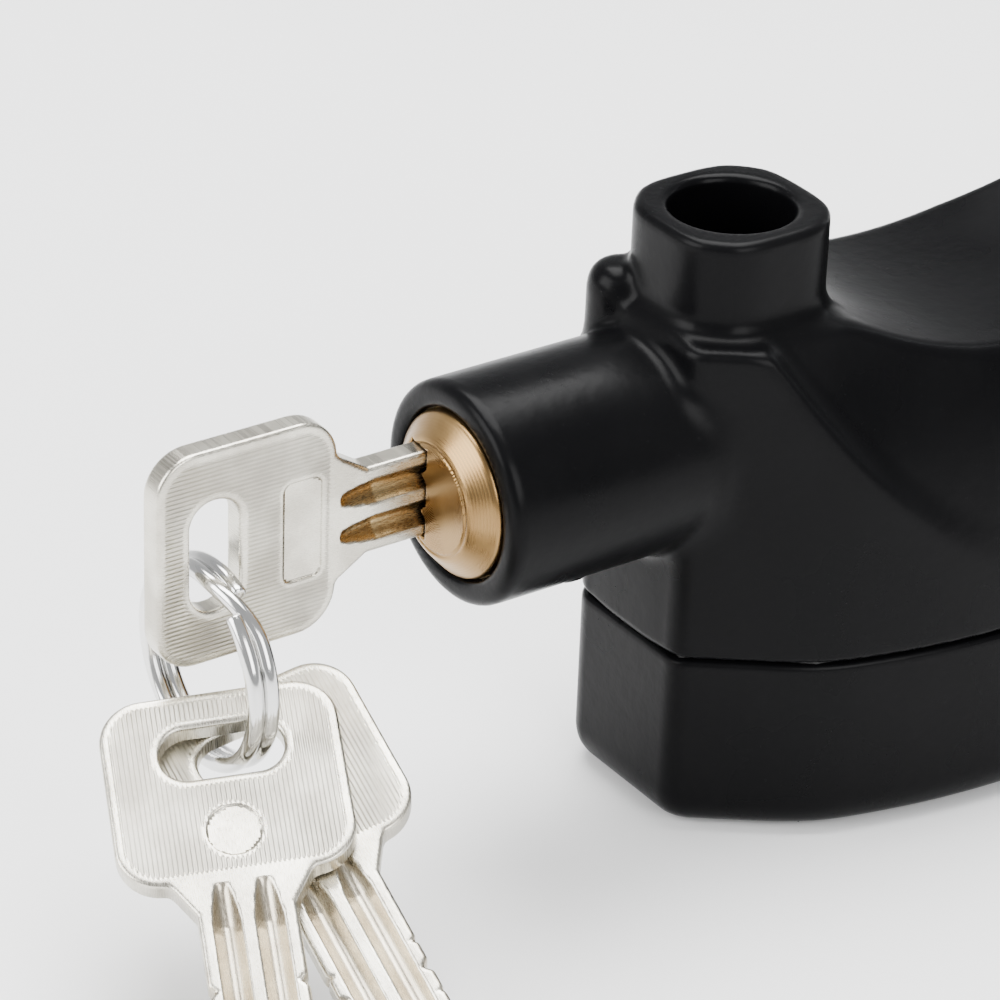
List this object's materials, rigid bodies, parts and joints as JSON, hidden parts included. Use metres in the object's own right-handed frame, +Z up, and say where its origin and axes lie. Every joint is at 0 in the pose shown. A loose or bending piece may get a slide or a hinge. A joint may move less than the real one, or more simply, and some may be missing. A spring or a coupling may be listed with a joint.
{
  "type": "disc brake lock",
  "caption": "Alarmed motorcycle disc brake lock with a U-shackle drawn up and swung out, and a key ring on the key in its barrel.",
  "frame": {"origin": "middle of the cover's flat underside", "axes": "+X along the body from the barrel to the heel socket, +Z up along the sockets, -Y towards the front"},
  "size_m": [0.1784, 0.0581, 0.1365],
  "materials": {
    "black_casting": "satin gloss",
    "brass": "turned",
    "steel": "plain",
    "key_nickel": "ribbed nickel plate",
    "ring_nickel": "bright nickel",
    "hard_chrome": "hardened and plated",
    "nylon": "natural",
    "seal_rubber": "matte",
    "board": "solder mask",
    "black_plastic": "moulded",
    "gold_can": "plated can",
    "copper": "enamelled copper wire",
    "blue_can": "sleeve",
    "cell_steel": "nickel plated can"
  },
  "bodies": {
    "body": {"upper_housing": "black_casting", "base_cover": "black_casting", "battery_door": "black_casting", "lock_sleeve": "brass", "cover_screws": "steel", "sleeve_pin": "steel", "bolt_stop_pin": "steel", "board_screws": "steel", "door_screw": "steel", "plunger_spring": "steel", "contact_strip": "steel", "contact_springs": "steel", "cover_gasket": "seal_rubber", "plunger_seal": "seal_rubber", "door_gasket": "seal_rubber", "siren_gasket": "seal_rubber", "circuit_board": "board", "control_chip": "black_plastic", "arming_switch": "black_plastic", "piezo_siren": "black_plastic", "battery_cradle": "black_plastic", "vibration_sensor": "gold_can", "boost_coil": "copper", "smoothing_capacitor": "blue_can", "battery_cells": "cell_steel"},
    "plug": {"lock_plug": "brass", "plug_clip": "steel", "tumbler_wafers": "brass"},
    "bolt": {"locking_bolt": "steel"},
    "key": {"main_key": "key_nickel"},
    "ring": {"split_ring": "ring_nickel"},
    "spare_a": {"spare_key_a": "key_nickel"},
    "spare_b": {"spare_key_b": "key_nickel"},
    "heel_ring": {"friction_ring": "nylon"},
    "shackle": {"shackle_bar": "hard_chrome"},
    "plunger": {"arming_plunger": "nylon"}
  },
  "joints": [
    {"name": "plug_turn", "type": "hinge", "parent": "body", "child": "plug", "pos_m": [-0.0545, 0, 0.0365], "axis": [-1, 0, 0], "range_deg": [0, 90]},
    {"name": "bolt_slide", "type": "slide", "parent": "body", "child": "bolt", "axis": [0, -1, 0], "range_m": [0, 0.0065]},
    {"name": "key_slide", "type": "slide", "parent": "plug", "child": "key", "axis": [-1, 0, 0], "range_m": [0, 0.03]},
    {"name": "ring_swing", "type": "hinge", "parent": "key", "child": "ring", "pos_m": [-0.07685, 0.0024, 0.0289], "axis": [1, 0, 0], "range_deg": [-20, 90]},
    {"name": "spare_key_a_fan", "type": "hinge", "parent": "ring", "child": "spare_a", "pos_m": [-0.07685, -0.0048, 0.02083], "axis": [-0.2933, -0.3961, 0.8701], "range_deg": [0, 20]},
    {"name": "spare_key_b_fan", "type": "hinge", "parent": "ring", "child": "spare_b", "pos_m": [-0.07685, -0.00267, 0.01867], "axis": [-0.2933, -0.3961, 0.8701], "range_deg": [0, 8]},
    {"name": "shackle_slide", "type": "slide", "parent": "body", "child": "heel_ring", "axis": [0, 0, 1], "range_m": [-0.0265, 0.01]},
    {"name": "shackle_swing", "type": "hinge", "parent": "heel_ring", "child": "shackle", "pos_m": [0.026, 0, 0.0521], "axis": [0, 0, 1], "range_deg": [0, 180]},
    {"name": "plunger_press", "type": "slide", "parent": "body", "child": "plunger", "axis": [0, 0, -1], "range_m": [0, 0.0018], "stiffness_N_per_m": 150, "springref_m": -0.0012, "deforming": ["plunger_spring"]}
  ],
  "couplings": [
    {"joint": "bolt_slide", "follows": "plug_turn", "m_per_rad": 0.004138}
  ]
}
